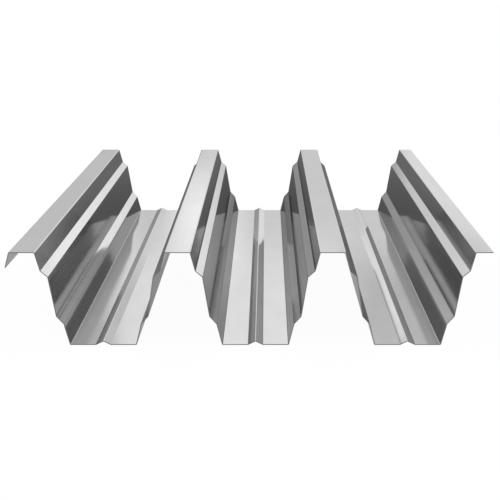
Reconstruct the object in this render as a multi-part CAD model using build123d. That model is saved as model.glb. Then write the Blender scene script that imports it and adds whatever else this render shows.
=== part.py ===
from build123d import *
import math
import os

# Trapezoidal steel sheet, one cold-rolled piece of galvanised steel, lying on its troughs.
# X runs across the sheet, Y along its ribs and +Z up. The origin is on the floor, in the
# middle of the sheet's footprint. Sizes are in millimetres and degrees.
#
# The section is drawn as the middle line of the steel. Widths, heights and offsets below are
# measured on that line between its sharp corners, unless their comment says otherwise.

# Whole sheet
sheet_length = 1000.0
steel_gauge = 1.5
overall_depth = 158.0  # floor to the top of a crest, over the steel
rib_pitch = 250.0  # one trough to the next
trough_count = 3

# Flanges
trough_width = 108.6
crest_width = 41.0

# Shallow rib that stiffens the middle of each trough
trough_rib_width = 24.8
trough_rib_height = 6.1

# Each web has two ledges. A ledge steps across the straight line from the trough's corner to
# the crest's corner: its foot lies inside that line and its nose stands beyond it.
lower_ledge_height = 35.8  # trough to the ledge's foot
lower_ledge_rise = 12.9  # foot to nose
lower_ledge_setback = 2.6  # foot, inside the straight line
lower_ledge_overhang = 4.7  # nose, beyond the straight line
upper_ledge_height = 115.8
upper_ledge_rise = 10.0
upper_ledge_setback = 6.3
upper_ledge_overhang = 2.0

# Left edge: a lip that laps over the last crest of the sheet beside it
lap_lip_length = 26.4
lap_lip_angle = 74.0  # below level

# Right edge: a plain flange that goes under the next sheet's first crest
lap_flange_width = 27.7

# Bends, measured on the inside of the steel
flange_bend_radius = 0.8
ledge_bend_radius = 1.2
rib_bend_radius = 0.5

NODE = "profiled_sheet"

# The middle line lies half a gauge inside both faces of the steel.
half_gauge = steel_gauge / 2
line_depth = overall_depth - steel_gauge
trough_corner = trough_width / 2
crest_corner = (rib_pitch - crest_width) / 2


def web_offset(height):
    """How far the web's straight line is from the trough's middle at a height."""
    return trough_corner + (crest_corner - trough_corner) * height / line_depth


def ledge_bends(foot_height, rise, setback, overhang):
    """The foot and the nose of one ledge on a right-hand web, with their inside radii."""
    nose_height = foot_height + rise
    foot = (web_offset(foot_height) - setback, foot_height)
    nose = (web_offset(nose_height) + overhang, nose_height)
    return [(foot, ledge_bend_radius), (nose, ledge_bend_radius)]


def trough_bends(middle):
    """The corners of one trough and its two webs, from crest to crest, with their radii."""
    rib_foot = [((trough_rib_width / 2, 0), rib_bend_radius)]
    trough_end = [((trough_corner, 0), flange_bend_radius)]
    lower_ledge = ledge_bends(
        lower_ledge_height, lower_ledge_rise, lower_ledge_setback, lower_ledge_overhang
    )
    upper_ledge = ledge_bends(
        upper_ledge_height, upper_ledge_rise, upper_ledge_setback, upper_ledge_overhang
    )
    crest_end = [((crest_corner, line_depth), flange_bend_radius)]
    right = rib_foot + trough_end + lower_ledge + upper_ledge + crest_end
    left = [((-x, z), radius) for (x, z), radius in reversed(right)]
    rib_top = [((0, trough_rib_height), rib_bend_radius)]
    return [((middle + x, z), radius) for (x, z), radius in left + rib_top + right]


def middle_line():
    """The middle line of the steel, from the edge of the lap lip to that of the lap flange."""
    first_trough = -rib_pitch * (trough_count - 1) / 2
    bends = []
    for index in range(trough_count):
        bends += trough_bends(first_trough + index * rib_pitch)
    (first_corner, _), _ = bends[0]
    (last_corner, _), _ = bends[-1]
    lip_corner = first_corner - crest_width
    lip_run = lap_lip_length * math.cos(math.radians(lap_lip_angle))
    lip_drop = lap_lip_length * math.sin(math.radians(lap_lip_angle))
    start = (lip_corner - lip_run, line_depth - lip_drop)
    bends.insert(0, ((lip_corner, line_depth), flange_bend_radius))
    end = (last_corner + lap_flange_width, line_depth)
    corners = [start] + [corner for corner, _ in bends] + [end]
    radii = [radius + half_gauge for _, radius in bends]
    return FilletPolyline(*corners, radius=radii)


def profiled_sheet():
    """The whole sheet: its section, as thick as the steel, run along its length."""
    section = trace(middle_line(), steel_gauge)
    sheet = extrude(Plane.XZ * section, sheet_length)
    footprint = sheet.bounding_box()
    centre = footprint.center()
    return Pos(-centre.X, -centre.Y, -footprint.min.Z) * sheet


os.makedirs("parts", exist_ok=True)
sheet = profiled_sheet()
export_step(sheet, f"parts/{NODE}.step")
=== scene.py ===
"""A trapezoidal steel sheet lying on its troughs: finish, studio and camera."""

import logging
import math
from dataclasses import dataclass, field
from enum import Enum

import bpy
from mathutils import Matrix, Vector


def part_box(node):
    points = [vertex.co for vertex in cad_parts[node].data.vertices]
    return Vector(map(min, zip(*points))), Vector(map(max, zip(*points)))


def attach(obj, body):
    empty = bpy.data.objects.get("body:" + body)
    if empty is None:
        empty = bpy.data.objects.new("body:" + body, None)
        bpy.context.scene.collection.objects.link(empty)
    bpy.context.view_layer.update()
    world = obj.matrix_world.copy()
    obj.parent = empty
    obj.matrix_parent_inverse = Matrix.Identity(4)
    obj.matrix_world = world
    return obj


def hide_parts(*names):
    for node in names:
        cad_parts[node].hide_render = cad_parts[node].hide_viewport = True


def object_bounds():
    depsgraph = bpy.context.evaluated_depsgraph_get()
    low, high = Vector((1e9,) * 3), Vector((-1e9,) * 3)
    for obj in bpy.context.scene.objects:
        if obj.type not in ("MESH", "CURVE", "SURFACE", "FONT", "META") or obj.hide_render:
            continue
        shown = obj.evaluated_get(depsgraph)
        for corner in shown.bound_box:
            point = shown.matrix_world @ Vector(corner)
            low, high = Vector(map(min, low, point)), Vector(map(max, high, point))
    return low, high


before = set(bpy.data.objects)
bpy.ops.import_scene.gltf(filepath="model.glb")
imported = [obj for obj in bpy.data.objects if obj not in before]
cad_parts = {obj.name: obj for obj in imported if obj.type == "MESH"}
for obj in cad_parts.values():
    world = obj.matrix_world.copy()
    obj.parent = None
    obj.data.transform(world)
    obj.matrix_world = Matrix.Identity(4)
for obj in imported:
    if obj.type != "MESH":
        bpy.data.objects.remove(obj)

CAD_LOW, CAD_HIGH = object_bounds()

log = logging.getLogger("steel_sheet")

MM = 0.001
NOISE_ENDS = (0.3, 0.7)  # nearly all of a noise lies between these
WHITE = (1.0, 1.0, 1.0, 1.0)

Socket = bpy.types.NodeSocket
Value = Socket | float  # a socket to follow, or the same number everywhere
Point = tuple[float, float, float]
Corner = tuple[float, float, float]  # x, z and the bend's radius on the middle line, in metres


class Ray(Enum):
    """The kinds of ray that the white background is shown to."""

    CAMERA = "Is Camera Ray"
    GLOSSY = "Is Glossy Ray"
    TRANSMISSION = "Is Transmission Ray"


def link(obj: bpy.types.Object) -> bpy.types.Object:
    """Puts a new object into the scene.

    Args:
        obj: the object to show.

    Returns:
        The same object.
    """
    bpy.context.scene.collection.objects.link(obj)
    return obj


def connect(tree: bpy.types.NodeTree, source: Socket, target: Socket) -> None:
    """Joins an output socket to an input socket.

    Args:
        tree: the node tree that holds both.
        source: the output socket.
        target: the input socket.
    """
    tree.links.new(source, target)


def eased(
    tree: bpy.types.NodeTree, source: Socket, start: float, end: float, low: float, high: float
) -> Socket:
    """Eases from one value to another as a source goes from a start to an end.

    Args:
        tree: the node tree.
        source: the socket to follow.
        start: where the change starts.
        end: where it ends.
        low: the value before it.
        high: the value after it.

    Returns:
        The output socket of the eased value.
    """
    ramp = tree.nodes.new("ShaderNodeMapRange")
    ramp.interpolation_type = "SMOOTHSTEP"
    ramp.inputs["From Min"].default_value = start
    ramp.inputs["From Max"].default_value = end
    ramp.inputs["To Min"].default_value = low
    ramp.inputs["To Max"].default_value = high
    connect(tree, source, ramp.inputs["Value"])
    return ramp.outputs["Result"]


@dataclass(frozen=True)
class RolledSteel:
    """Bare galvanised strip, bright and smooth from the rolls.

    Attributes:
        name: the material's name.
        grey: reflectance of the zinc seen square on.
        edge_grey: how much of its glancing reflection the zinc keeps.
        edge_fade: where it starts to lose that too, and where none is left, as the Layer Weight
            node's Facing gives it, from 0 square on to 1 edge on.
        roughness: mean roughness of the skin.
        roughness_spread: how far the roughness wanders either side of it.
        grain_mm: width of the fine lines that the rolls leave along the sheet.
        grain_stretch: how many times longer than wide those lines are.
        grain_depth_mm: depth of the lines.
        grain_detail: octaves of finer lines.
        cloud_mm: width of the faint clouds in the zinc.
        cloud_stretch: how many times longer than wide the clouds are.
        cloud_detail: octaves of finer clouds.
        cloud_contrast: how much darker the clouds are than the rest.
    """

    name: str = "zinc_coated_steel"
    grey: float = 0.65
    edge_grey: float = 0.5
    edge_fade: tuple[float, float] = (0.88, 0.965)
    roughness: float = 0.09
    roughness_spread: float = 0.02
    grain_mm: float = 2.5
    grain_stretch: float = 60.0
    grain_depth_mm: float = 0.001
    grain_detail: float = 3.0
    cloud_mm: float = 45.0
    cloud_stretch: float = 2.0
    cloud_detail: float = 2.0
    cloud_contrast: float = 0.05

    def build(self) -> bpy.types.Material:
        """Makes the material.

        Returns:
            The material, patterned on Object coordinates.
        """
        material = bpy.data.materials.new(self.name)
        material.use_nodes = True
        tree = material.node_tree
        shader = tree.nodes["Principled BSDF"]
        shader.inputs["Metallic"].default_value = 1.0
        tint = shader.inputs["Specular Tint"]
        tint.default_value = (self.edge_grey, self.edge_grey, self.edge_grey, 1.0)
        facing = tree.nodes.new("ShaderNodeLayerWeight").outputs["Facing"]
        connect(tree, eased(tree, facing, *self.edge_fade, self.edge_grey, 0.0), tint)
        place = tree.nodes.new("ShaderNodeTexCoord").outputs["Object"]
        lines = (self.grain_mm, self.grain_stretch, self.grain_detail)
        patches = (self.cloud_mm, self.cloud_stretch, self.cloud_detail)
        grain = self._noise(tree, place, *lines)
        clouds = self._noise(tree, place, *patches)
        dark = self.grey * (1.0 - self.cloud_contrast)
        connect(tree, self._range(tree, clouds, dark, self.grey), shader.inputs["Base Color"])
        low = self.roughness - self.roughness_spread
        high = self.roughness + self.roughness_spread
        connect(tree, self._range(tree, grain, low, high), shader.inputs["Roughness"])
        bump = tree.nodes.new("ShaderNodeBump")
        bump.inputs["Strength"].default_value = 1.0
        bump.inputs["Distance"].default_value = self.grain_depth_mm * MM
        connect(tree, grain, bump.inputs["Height"])
        connect(tree, bump.outputs["Normal"], shader.inputs["Normal"])
        return material

    def _noise(
        self, tree: bpy.types.NodeTree, place: Socket, size_mm: float, stretch: float, detail: float
    ) -> Socket:
        """Adds a noise drawn out along the sheet.

        Args:
            tree: the material's node tree.
            place: the coordinates to read.
            size_mm: width of one grain.
            stretch: how many times longer than wide a grain is.
            detail: octaves of finer noise.

        Returns:
            The output socket of the noise.
        """
        turn = tree.nodes.new("ShaderNodeMapping")
        across = 1.0 / (size_mm * MM)
        turn.inputs["Scale"].default_value = (across, across / stretch, across)
        noise = tree.nodes.new("ShaderNodeTexNoise")
        noise.inputs["Scale"].default_value = 1.0
        noise.inputs["Detail"].default_value = detail
        connect(tree, place, turn.inputs["Vector"])
        connect(tree, turn.outputs["Vector"], noise.inputs["Vector"])
        return noise.outputs["Fac"]

    def _range(
        self, tree: bpy.types.NodeTree, source: Socket, low: float, high: float
    ) -> Socket:
        """Spreads a noise between two values.

        Args:
            tree: the material's node tree.
            source: the noise.
            low: value for its low end.
            high: value for its high end.

        Returns:
            The output socket of the spread value.
        """
        spread = tree.nodes.new("ShaderNodeMapRange")
        spread.inputs["From Min"].default_value = NOISE_ENDS[0]
        spread.inputs["From Max"].default_value = NOISE_ENDS[1]
        spread.inputs["To Min"].default_value = low
        spread.inputs["To Max"].default_value = high
        connect(tree, source, spread.inputs["Value"])
        return spread.outputs["Result"]


@dataclass(frozen=True)
class ShearedEdge(RolledSteel):
    """The bare core of the strip, where it is cut: duller, darker and rougher than the zinc."""

    name: str = "cut_steel_edge"
    grey: float = 0.2
    edge_grey: float = 0.6
    roughness: float = 0.38
    roughness_spread: float = 0.08
    grain_mm: float = 0.35
    grain_stretch: float = 1.0
    grain_depth_mm: float = 0.02
    cloud_contrast: float = 0.2


@dataclass(frozen=True)
class Ledge:
    """A ledge that runs along a web and steps across the web's straight line.

    Attributes:
        foot: height of its foot above the trough.
        rise: height from its foot to its nose.
        setback: how far the foot lies inside the straight line.
        overhang: how far the nose stands beyond it.
    """

    foot: float
    rise: float
    setback: float
    overhang: float


@dataclass
class ProfiledSheet:
    """The rolled sheet. Its section is the middle line of the steel, bent and thickened.

    Attributes:
        gauge: thickness of the steel.
        pitch: one trough to the next.
        troughs: how many there are.
        trough_width: corner to corner on the middle line.
        crest_width: corner to corner on the middle line.
        rib_width: width of the shallow rib in the middle of a trough.
        rib_height: height of that rib.
        lower_ledge: the ledge near the trough.
        upper_ledge: the ledge near the crest.
        lip_length: length of the lap lip on the left edge.
        lip_angle: its slope below level, in degrees.
        lap_flange: width of the plain flange on the right edge.
        flange_bend: inside radius of the bends beside the flanges.
        ledge_bend: inside radius of the bends of the ledges.
        rib_bend: inside radius of the bends of the rib.
        bend_steps: facets round one bend.
        joint: how near to each other two lengths of section are made one.
        crisp_from: angle between two faces from which their edge is shaded crisp, in degrees.
        node: the solid that the sheet stands for.
        low: the lowest corner of that solid's box.
        high: the highest corner of that solid's box.
    """

    gauge: float = 1.5 * MM
    pitch: float = 250.0 * MM
    troughs: int = 3
    trough_width: float = 108.6 * MM
    crest_width: float = 41.0 * MM
    rib_width: float = 24.8 * MM
    rib_height: float = 6.1 * MM
    lower_ledge: Ledge = Ledge(35.8 * MM, 12.9 * MM, 2.6 * MM, 4.7 * MM)
    upper_ledge: Ledge = Ledge(115.8 * MM, 10.0 * MM, 6.3 * MM, 2.0 * MM)
    lip_length: float = 26.4 * MM
    lip_angle: float = 74.0
    lap_flange: float = 27.7 * MM
    flange_bend: float = 0.8 * MM
    ledge_bend: float = 1.2 * MM
    rib_bend: float = 0.5 * MM
    bend_steps: int = 8
    joint: float = 0.01 * MM
    crisp_from: float = 30.0
    node: str = "profiled_sheet"
    low: Vector = field(init=False)
    high: Vector = field(init=False)

    def __post_init__(self) -> None:
        """Takes the sheet's length, depth and place from the frame."""
        self.low, self.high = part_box(self.node)

    @property
    def line_depth(self) -> float:
        """Depth from the middle line of a trough to that of a crest."""
        return self.high.z - self.low.z - self.gauge

    @property
    def crest_corner(self) -> float:
        """Distance from a trough's middle to the corner of the crest beside it."""
        return (self.pitch - self.crest_width) / 2

    @property
    def last_trough(self) -> float:
        """Place of the right-hand trough's middle, found back from the lap flange's edge."""
        return self.high.x - self.lap_flange - self.crest_corner

    @property
    def first_trough(self) -> float:
        """Place of the left-hand trough's middle."""
        return self.last_trough - self.pitch * (self.troughs - 1)

    def _ledge_corners(self, ledge: Ledge) -> list[Corner]:
        """Corners of one ledge on a right-hand web.

        Args:
            ledge: the ledge.

        Returns:
            The foot and the nose.
        """
        start = self.trough_width / 2
        slope = (self.crest_corner - start) / self.line_depth
        nose = ledge.foot + ledge.rise
        radius = self.ledge_bend + self.gauge / 2
        return [
            (start + slope * ledge.foot - ledge.setback, ledge.foot, radius),
            (start + slope * nose + ledge.overhang, nose, radius),
        ]

    def trough_corners(self) -> list[Corner]:
        """Corners of one trough and its two webs, from one crest's middle to the next.

        Returns:
            The corners from left to right, with the trough's middle at x = 0.
        """
        flange_radius = self.flange_bend + self.gauge / 2
        rib_radius = self.rib_bend + self.gauge / 2
        right = [
            (self.rib_width / 2, 0.0, rib_radius),
            (self.trough_width / 2, 0.0, flange_radius),
            *self._ledge_corners(self.lower_ledge),
            *self._ledge_corners(self.upper_ledge),
            (self.crest_corner, self.line_depth, flange_radius),
            (self.pitch / 2, self.line_depth, 0.0),
        ]
        left = [(-x, z, radius) for x, z, radius in reversed(right)]
        return left + [(0.0, self.rib_height, rib_radius)] + right

    def lip_corners(self) -> list[Corner]:
        """Corners of the left edge, from the lap lip's cut edge to the first crest's middle."""
        angle = math.radians(self.lip_angle)
        middle = self.first_trough - self.pitch / 2
        corner = middle - self.crest_width / 2
        run = self.lip_length * math.cos(angle)
        drop = self.lip_length * math.sin(angle)
        return [
            (corner - run, self.line_depth - drop, 0.0),
            (corner, self.line_depth, self.flange_bend + self.gauge / 2),
            (middle, self.line_depth, 0.0),
        ]

    def flange_corners(self) -> list[Corner]:
        """Corners of the right edge, from the last crest's middle to the cut edge."""
        middle = self.last_trough + self.pitch / 2
        return [(middle, self.line_depth, 0.0), (self.high.x, self.line_depth, 0.0)]

    def _outline(self, name: str, corners: list[Corner]) -> bpy.types.Object:
        """Draws corners as a curve whose point radius is the radius of the bend there.

        Args:
            name: the curve's name.
            corners: the corners in order.

        Returns:
            The curve's object, linked to the scene.
        """
        curve = bpy.data.curves.new(name, "CURVE")
        curve.dimensions = "3D"
        spline = curve.splines.new("POLY")
        spline.points.add(len(corners) - 1)
        for point, (x, z, radius) in zip(spline.points, corners):
            point.co = (x, 0.0, z, 1.0)
            point.radius = radius
        return link(bpy.data.objects.new(name, curve))

    def _rolling_tree(
        self, finish: bpy.types.Material
    ) -> tuple[bpy.types.NodeTree, dict[str, str]]:
        """Builds the node tree that bends, repeats and runs out the section.

        Args:
            finish: the material of the rolled faces.

        Returns:
            The tree, and each input's identifier by its name.
        """
        tree = bpy.data.node_groups.new("rolled_section", "GeometryNodeTree")
        tree.is_modifier = True
        sockets = {
            "One trough": "NodeSocketGeometry",
            "Left edge": "NodeSocketObject",
            "Right edge": "NodeSocketObject",
            "Troughs": "NodeSocketInt",
            "Pitch": "NodeSocketFloat",
            "First trough": "NodeSocketFloat",
            "Sheet length": "NodeSocketFloat",
            "Height of middle line": "NodeSocketFloat",
            "Bend steps": "NodeSocketInt",
        }
        inputs = {
            name: tree.interface.new_socket(name, in_out="INPUT", socket_type=kind).identifier
            for name, kind in sockets.items()
        }
        tree.interface.new_socket("Sheet", in_out="OUTPUT", socket_type="NodeSocketGeometry")
        given = tree.nodes.new("NodeGroupInput").outputs

        def add(kind: str, **settings: str) -> bpy.types.Node:
            """Adds a node to the tree.

            Args:
                kind: its type.
                settings: values for its properties.

            Returns:
                The node.
            """
            node = tree.nodes.new(kind)
            for key, value in settings.items():
                setattr(node, key, value)
            return node

        def offset(**axes: Socket) -> Socket:
            """Makes a vector.

            Args:
                axes: the sockets that its X, Y and Z follow; 0 where none is given.

            Returns:
                The output socket of the vector.
            """
            vector = add("ShaderNodeCombineXYZ")
            for axis, value in axes.items():
                connect(tree, value, vector.inputs[axis])
            return vector.outputs["Vector"]

        def rolled(outline: Socket) -> Socket:
            """Rounds an outline's corners and runs it along the sheet.

            Args:
                outline: the socket of the curve.

            Returns:
                The output socket of its faces.
            """
            fillet = add("GeometryNodeFilletCurve", mode="POLY")
            connect(tree, outline, fillet.inputs["Curve"])
            connect(tree, given["Bend steps"], fillet.inputs["Count"])
            radius = add("GeometryNodeInputRadius")
            connect(tree, radius.outputs["Radius"], fillet.inputs["Radius"])
            edges = add("GeometryNodeCurveToMesh")
            connect(tree, fillet.outputs["Curve"], edges.inputs["Curve"])
            run = add("GeometryNodeExtrudeMesh", mode="EDGES")
            connect(tree, edges.outputs["Mesh"], run.inputs["Mesh"])
            connect(tree, offset(Y=given["Sheet length"]), run.inputs["Offset"])
            return run.outputs["Mesh"]

        row = add("GeometryNodeMeshLine", mode="OFFSET")
        connect(tree, given["Troughs"], row.inputs["Count"])
        connect(tree, offset(X=given["First trough"]), row.inputs["Start Location"])
        connect(tree, offset(X=given["Pitch"]), row.inputs["Offset"])
        repeat = add("GeometryNodeInstanceOnPoints")
        connect(tree, row.outputs["Mesh"], repeat.inputs["Points"])
        connect(tree, rolled(given["One trough"]), repeat.inputs["Instance"])
        whole = add("GeometryNodeJoinGeometry")
        for edge in ("Left edge", "Right edge"):
            side = add("GeometryNodeObjectInfo")
            connect(tree, given[edge], side.inputs["Object"])
            connect(tree, rolled(side.outputs["Geometry"]), whole.inputs["Geometry"])
        connect(tree, repeat.outputs["Instances"], whole.inputs["Geometry"])
        near_end = add("ShaderNodeMath", operation="MULTIPLY")
        near_end.inputs[1].default_value = -0.5
        connect(tree, given["Sheet length"], near_end.inputs[0])
        centred = add("GeometryNodeTransform")
        connect(tree, whole.outputs["Geometry"], centred.inputs["Geometry"])
        place = offset(Y=near_end.outputs["Value"], Z=given["Height of middle line"])
        connect(tree, place, centred.inputs["Translation"])
        real = add("GeometryNodeRealizeInstances")
        connect(tree, centred.outputs["Geometry"], real.inputs["Geometry"])
        dressed = add("GeometryNodeSetMaterial")
        dressed.inputs["Material"].default_value = finish
        connect(tree, real.outputs["Geometry"], dressed.inputs["Geometry"])
        result = add("NodeGroupOutput")
        connect(tree, dressed.outputs["Geometry"], result.inputs["Sheet"])
        return tree, inputs

    def _evaluated(self, obj: bpy.types.Object, name: str) -> bpy.types.Mesh:
        """Turns an object with live modifiers into a plain mesh.

        Args:
            obj: the object to evaluate.
            name: the new mesh's name.

        Returns:
            The mesh that its modifiers give.
        """
        graph = bpy.context.evaluated_depsgraph_get()
        mesh = bpy.data.meshes.new_from_object(
            obj.evaluated_get(graph), preserve_all_data_layers=True, depsgraph=graph
        )
        mesh.name = name
        return mesh

    def _roll(self, zinc: bpy.types.Material) -> bpy.types.Mesh:
        """Draws the section and runs it along the sheet.

        Args:
            zinc: the material of the rolled faces.

        Returns:
            The middle surface of the steel.
        """
        trough = self._outline("one_trough", self.trough_corners())
        edges = {
            "Left edge": self._outline("left_edge", self.lip_corners()),
            "Right edge": self._outline("right_edge", self.flange_corners()),
        }
        tree, inputs = self._rolling_tree(zinc)
        rolling = trough.modifiers.new("rolling", "NODES")
        rolling.node_group = tree
        values = {
            **edges,
            "Troughs": self.troughs,
            "Pitch": self.pitch,
            "First trough": self.first_trough,
            "Sheet length": self.high.y - self.low.y,
            "Height of middle line": self.low.z + self.gauge / 2,
            "Bend steps": self.bend_steps,
        }
        for name, value in values.items():
            rolling[inputs[name]] = value
        surface = self._evaluated(trough, "rolled_surface")
        for outline in (trough, *edges.values()):
            bpy.data.objects.remove(outline)
        return surface

    def _thicken(self, sheet: bpy.types.Object) -> None:
        """Joins the lengths of section and gives the surface the gauge of the steel.

        Args:
            sheet: the sheet, as its middle surface. Its cut edges take its second material.
        """
        joints = sheet.modifiers.new("joints", "WELD")
        joints.merge_threshold = self.joint
        gauge = sheet.modifiers.new("gauge", "SOLIDIFY")
        gauge.thickness = self.gauge
        gauge.offset = 0.0
        gauge.use_even_offset = True
        gauge.material_offset_rim = 1
        sheet.data = self._evaluated(sheet, "rolled_sheet")
        sheet.modifiers.clear()

    def _smooth(self, sheet: bpy.types.Object) -> None:
        """Shades the bends round, and keeps the flats flat and the cut edges crisp.

        Args:
            sheet: the thickened sheet.
        """
        sheet.data.shade_smooth()
        sheet.data.set_sharp_from_angle(angle=math.radians(self.crisp_from))
        flats = sheet.modifiers.new("flats", "WEIGHTED_NORMAL")
        flats.keep_sharp = True
        sheet.data = self._evaluated(sheet, "rolled_sheet")
        sheet.modifiers.clear()

    def build(self, zinc: bpy.types.Material, cut: bpy.types.Material) -> bpy.types.Object:
        """Makes the sheet and hands it to the frame in place of its plain solid.

        Args:
            zinc: the material of the rolled faces.
            cut: the material of the cut edges.

        Returns:
            The sheet, as one plain mesh.
        """
        surface = self._roll(zinc)
        surface.materials.clear()
        surface.materials.append(zinc)
        surface.materials.append(cut)
        sheet = link(bpy.data.objects.new("rolled_sheet", surface))
        self._thicken(sheet)
        self._smooth(sheet)
        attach(sheet, "root")
        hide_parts(self.node)
        return sheet


@dataclass(frozen=True)
class Zone:
    """A soft-edged zone of the reflection wall: a soft box, or a flag where it is dark.

    Attributes:
        name: what it is.
        sides: its left and right edges at floor level, in degrees to the right of straight ahead.
        rise: its bottom and top edges, in degrees above level.
        strength: its brightness, where 1 is white.
        fade: how many degrees its edges take to fade into what lies round it.
        lean: how far its sides lean to the right over a metre of height.
    """

    name: str
    sides: tuple[float, float]
    rise: tuple[float, float]
    strength: float
    fade: float = 3.0
    lean: float = 0.0


@dataclass
class Studio:
    """A pale floor in a white room, with a wall of soft boxes and flags for the steel to mirror.

    Attributes:
        floor_size: side of the square floor.
        floor_grey: colour of the floor.
        floor_white: how much of the floor's look is plain white, under which its shadows lie.
        floor_mirrored: the same as the sheet mirrors it, with more of the shadow.
        fill: brightness of the room's light.
        distance: how far behind the sheet the wall stands.
        cloth_shadowed_and_open_greys: brightness of the cloth behind the sheet, at its near edge
            and farther off.
            The darker near edge is a painted shadow of the sheet, which only reflections see.
        cloth_shadow_length: how far from its near edge the cloth takes to reach the second of them:
            the length of that painted shadow.
        cloth_spread: where its sides start to fade and where they are white, in degrees.
        cloth_margin: how far the cloth goes on past that, in degrees.
        cloth_front: how far before the cloth's near edge those degrees are measured from.
        cloth_near_width: width of the cloth at its near edge.
        cloth_lift: how far above the floor it lies.
        zones: the zones of the wall, each laid over those before it.
    """

    floor_size: float = 90.0
    floor_grey: float = 0.95
    floor_white: float = 0.965
    floor_mirrored: float = 0.65
    fill: float = 1.05
    distance: float = 36.0
    # painted shadow: the cloth's near edge glows darker, as if the sheet shaded it
    cloth_shadowed_and_open_greys: tuple[float, float] = (0.2, 0.33)
    cloth_shadow_length: float = 1.2
    cloth_spread: tuple[float, float] = (11.5, 16.5)
    cloth_margin: float = 2.0
    cloth_front: float = 0.1
    cloth_near_width: float = 2.0
    cloth_lift: float = 0.5 * MM
    zones: tuple[Zone, ...] = (
        Zone("wide box", (-40.0, 40.0), (3.0, 40.0), 1.49),
        Zone("low flag", (-18.0, 18.0), (-40.0, 1.4), 0.29, 5.0),
        Zone("left low flag", (-40.0, -4.0), (1.0, 8.8), 0.67, 2.2),
        Zone("left high flag", (-40.0, -4.5), (10.5, 21.5), 1.29),
        Zone("left top flag", (-40.0, -9.1), (18.6, 40.0), 0.86, 1.2),
        Zone("main box", (-8.6, 4.8), (14.6, 30.0), 1.62, 1.5),
        Zone("upper box", (-9.0, 2.2), (18.4, 40.0), 1.5, 2.0),
        Zone("bright box", (-5.6, -2.0), (11.0, 15.8), 2.25, 3.5),
        Zone("right box", (7.9, 25.0), (4.6, 14.6), 1.81, 1.4),
        Zone("right flag", (5.0, 12.5), (15.5, 24.0), 0.98, 3.8),
        Zone("strip box", (-1.0, 1.0), (12.5, 18.8), 1.72, 1.2, lean=-0.63),
    )

    def _seen(self, tree: bpy.types.NodeTree, share: float, mirrored: float) -> Socket:
        """Finds how white the background looks to the ray that meets it.

        Args:
            tree: the node tree of the floor or the room.
            share: how much plain white the rays named in Ray see, from 0 to 1.
            mirrored: the same for mirrored rays.

        Returns:
            A socket with the ray's share, which is 0 for the rays that Ray doesn't name.
        """
        path = tree.nodes.new("ShaderNodeLightPath").outputs
        total: Value = 0.0
        for ray in Ray:
            white = mirrored if ray is Ray.GLOSSY else share
            total = self._math(tree, "MULTIPLY_ADD", path[ray.value], white, total)
        return total

    def _math(self, tree: bpy.types.NodeTree, operation: str, *values: Value) -> Socket:
        """Adds a sum on sockets or plain numbers.

        Args:
            tree: the node tree.
            operation: the sum's kind, as the Math node names it.
            values: its inputs in order.

        Returns:
            The output socket of the sum.
        """
        node = tree.nodes.new("ShaderNodeMath")
        node.operation = operation
        for slot, value in zip(node.inputs, values):
            if isinstance(value, (int, float)):
                slot.default_value = value
            else:
                connect(tree, value, slot)
        return node.outputs["Value"]

    def _axes(self, tree: bpy.types.NodeTree) -> bpy.types.NodeOutputs:
        """Splits Object coordinates into their axes.

        Args:
            tree: the node tree.

        Returns:
            The outputs X, Y and Z.
        """
        place = tree.nodes.new("ShaderNodeTexCoord")
        axes = tree.nodes.new("ShaderNodeSeparateXYZ")
        connect(tree, place.outputs["Object"], axes.inputs["Vector"])
        return axes.outputs

    def room(self) -> None:
        """Makes the white room round the floor."""
        world = bpy.data.worlds.new("white_room")
        bpy.context.scene.world = world
        world.use_nodes = True
        tree = world.node_tree
        tree.nodes.clear()
        mix = tree.nodes.new("ShaderNodeMixShader")
        connect(tree, self._seen(tree, 1.0, 1.0), mix.inputs["Fac"])
        # The mix gives the room's light where its factor is 0 and plain white where it is 1.
        for slot, strength in enumerate((self.fill, 1.0), start=1):
            light = tree.nodes.new("ShaderNodeBackground")
            light.inputs["Color"].default_value = WHITE
            light.inputs["Strength"].default_value = strength
            connect(tree, light.outputs["Background"], mix.inputs[slot])
        out = tree.nodes.new("ShaderNodeOutputWorld")
        connect(tree, mix.outputs["Shader"], out.inputs["Surface"])

    def floor(self) -> None:
        """Lays the floor that the sheet rests on."""
        material, tree = self._blank("pale_floor")
        lit = tree.nodes.new("ShaderNodeBsdfDiffuse")
        lit.inputs["Color"].default_value = (self.floor_grey,) * 3 + (1.0,)
        white = tree.nodes.new("ShaderNodeEmission")
        white.inputs["Strength"].default_value = 1.0
        mix = tree.nodes.new("ShaderNodeMixShader")
        seen = self._seen(tree, self.floor_white, self.floor_mirrored)
        connect(tree, seen, mix.inputs["Fac"])
        connect(tree, lit.outputs["BSDF"], mix.inputs[1])
        connect(tree, white.outputs["Emission"], mix.inputs[2])
        out = tree.nodes.new("ShaderNodeOutputMaterial")
        connect(tree, mix.outputs["Shader"], out.inputs["Surface"])
        half = self.floor_size / 2
        corners = [(-half, -half, 0.0), (half, -half, 0.0), (half, half, 0.0), (-half, half, 0.0)]
        self._plate("floor", corners, material)

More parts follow.
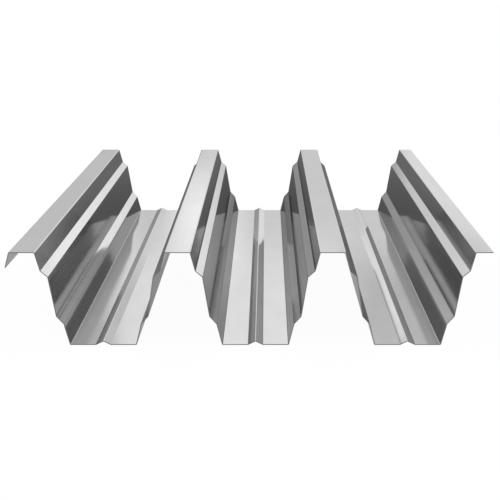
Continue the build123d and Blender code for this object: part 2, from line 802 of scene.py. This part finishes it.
    def cloth(self) -> None:
        """Lays a fan of dark cloth on the floor behind the sheet, fading to white at its sides."""
        material, tree = self._blank("dark_cloth")
        axes = self._axes(tree)
        near = CAD_HIGH.y
        far = self.distance
        lift = self.cloth_lift
        sideways = self._math(tree, "ABSOLUTE", axes["X"])
        outside = self._math(tree, "SUBTRACT", sideways, CAD_HIGH.x)
        away = self._math(tree, "SUBTRACT", axes["Y"], near - self.cloth_front)
        start, end = (math.tan(math.radians(angle)) for angle in self.cloth_spread)
        aside = self._math(tree, "DIVIDE", outside, away)
        # painted shadow: the cloth glows darkest at its near edge, as if the sheet shaded it, and
        # lighter further off
        grey = eased(tree, axes["Y"], near, near + self.cloth_shadow_length, *self.cloth_shadowed_and_open_greys)
        bare = eased(tree, aside, start, end, 0.0, 1.0)
        rest = self._math(tree, "SUBTRACT", 1.0, grey)
        self._glow(tree, self._math(tree, "MULTIPLY_ADD", rest, bare, grey))
        narrow = self.cloth_near_width / 2
        outermost = math.radians(self.cloth_spread[1] + self.cloth_margin)
        wide = CAD_HIGH.x + far * math.tan(outermost)
        corners = [
            (-narrow, near, lift),
            (narrow, near, lift),
            (wide, far, lift),
            (-wide, far, lift),
        ]
        self._reflected_only(self._plate("dark_cloth", corners, material))

    def wall(self) -> None:
        """Stands the reflection wall behind the sheet, with its zones."""
        material, tree = self._blank("reflection_wall")
        axes = self._axes(tree)
        glow: Value = 1.0
        for zone in self.zones:
            fade = self.distance * math.tan(math.radians(zone.fade)) / 2
            cover: Value = 1.0
            across = self._math(tree, "MULTIPLY_ADD", axes["Z"], -zone.lean, axes["X"])
            for place, edges in ((across, zone.sides), (axes["Z"], zone.rise)):
                for angle, inward in zip(edges, (1.0, -1.0)):
                    edge = self.distance * math.tan(math.radians(angle))
                    outer = edge - inward * fade
                    inner = edge + inward * fade
                    rim = eased(tree, place, outer, inner, 0.0, 1.0)
                    cover = self._math(tree, "MULTIPLY", cover, rim)
            change = self._math(tree, "SUBTRACT", zone.strength, glow)
            glow = self._math(tree, "MULTIPLY_ADD", change, cover, glow)
        self._glow(tree, glow)
        far = self.distance
        half = far
        top = far
        corners = [(-half, far, 0.0), (half, far, 0.0), (half, far, top), (-half, far, top)]
        self._reflected_only(self._plate("reflection_wall", corners, material))

    def _blank(self, name: str) -> tuple[bpy.types.Material, bpy.types.NodeTree]:
        """Makes a material with no nodes yet.

        Args:
            name: the material's name.

        Returns:
            The material and its node tree.
        """
        material = bpy.data.materials.new(name)
        material.use_nodes = True
        material.node_tree.nodes.clear()
        return material, material.node_tree

    def _glow(self, tree: bpy.types.NodeTree, strength: Socket) -> None:
        """Ends a node tree in a grey glow.

        Args:
            tree: the node tree.
            strength: the socket that its brightness follows.
        """
        shine = tree.nodes.new("ShaderNodeEmission")
        connect(tree, strength, shine.inputs["Strength"])
        out = tree.nodes.new("ShaderNodeOutputMaterial")
        connect(tree, shine.outputs["Emission"], out.inputs["Surface"])

    def _plate(
        self, name: str, corners: list[Point], material: bpy.types.Material
    ) -> bpy.types.Object:
        """Makes a flat plate of four corners.

        Args:
            name: the plate's name.
            corners: its corners in order.
            material: its face.

        Returns:
            The plate, linked to the scene.
        """
        mesh = bpy.data.meshes.new(name)
        mesh.from_pydata(corners, [], [(0, 1, 2, 3)])
        mesh.materials.append(material)
        return link(bpy.data.objects.new(name, mesh))

    def _reflected_only(self, plate: bpy.types.Object) -> None:
        """Hides a plate from every ray but a mirrored one.

        Args:
            plate: the cloth or the wall.
        """
        plate.visible_camera = False
        plate.visible_diffuse = False
        plate.visible_shadow = False
        plate.visible_transmission = False

    def build(self) -> None:
        """Sets up the room, the floor, the cloth and the wall."""
        self.room()
        self.floor()
        self.cloth()
        self.wall()
        log.info("studio: floor, dark cloth and a wall of %d zones", len(self.zones))


@dataclass(frozen=True)
class ViewCamera:
    """The camera, at the photograph's place and angle.

    Attributes:
        place: where it stands.
        pitch: how far it looks down, in degrees.
        lens_mm: focal length.
        sensor_mm: width of the sensor.
        shift_x: sideways shift, as a share of the frame.
        shift_y: upward shift, as a share of the frame.
    """

    place: Point = (0.02884, -2.10527, 0.58901)
    pitch: float = 16.19
    lens_mm: float = 74.669
    sensor_mm: float = 36.0
    shift_x: float = -0.03306
    shift_y: float = 0.0464

    def build(self) -> None:
        """Makes the camera and gives it to the scene."""
        data = bpy.data.cameras.new("camera")
        data.sensor_width = self.sensor_mm
        data.lens = self.lens_mm
        data.shift_x = self.shift_x
        data.shift_y = self.shift_y
        camera = link(bpy.data.objects.new("camera", data))
        camera.location = self.place
        camera.rotation_euler = (math.radians(90.0 - self.pitch), 0.0, 0.0)
        bpy.context.scene.camera = camera


def main() -> None:
    """Builds the sheet, the studio and the camera."""
    logging.basicConfig(level=logging.INFO, format="%(name)s: %(message)s")
    bpy.context.scene.view_settings.view_transform = "Standard"
    sheet = ProfiledSheet().build(RolledSteel().build(), ShearedEdge().build())
    log.info("%s: %d faces", sheet.name, len(sheet.data.polygons))
    Studio().build()
    ViewCamera().build()
    log.info("camera: set")


if __name__ == "__main__":
    main()
